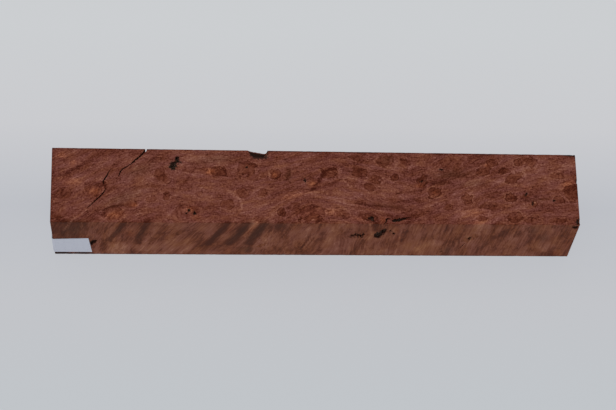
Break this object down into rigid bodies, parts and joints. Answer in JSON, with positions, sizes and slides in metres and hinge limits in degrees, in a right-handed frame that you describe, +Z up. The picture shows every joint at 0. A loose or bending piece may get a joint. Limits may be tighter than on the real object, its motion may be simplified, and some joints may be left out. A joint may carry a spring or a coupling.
{
  "type": "stabilized redwood burl pen blank",
  "caption": "Square stick of stabilized redwood burl for turning a pen, with natural cracks, bark pockets, a torn notch and a bare paper label folded round one end.",
  "frame": {"origin": "on the bottom face, midway along the stick and midway across it", "axes": "+X along the stick, away from the labelled end; -Y is the long face that carries the label; +Z up, out of the face with the long cracks, as the stick lies in the picture"},
  "size_m": [0.1274, 0.0201, 0.0192],
  "materials": {
    "burl_wood": "satin",
    "label_paper": "matte"
  },
  "bodies": {
    "root": {"blank": "burl_wood", "label": "label_paper"}
  },
  "joints": []
}
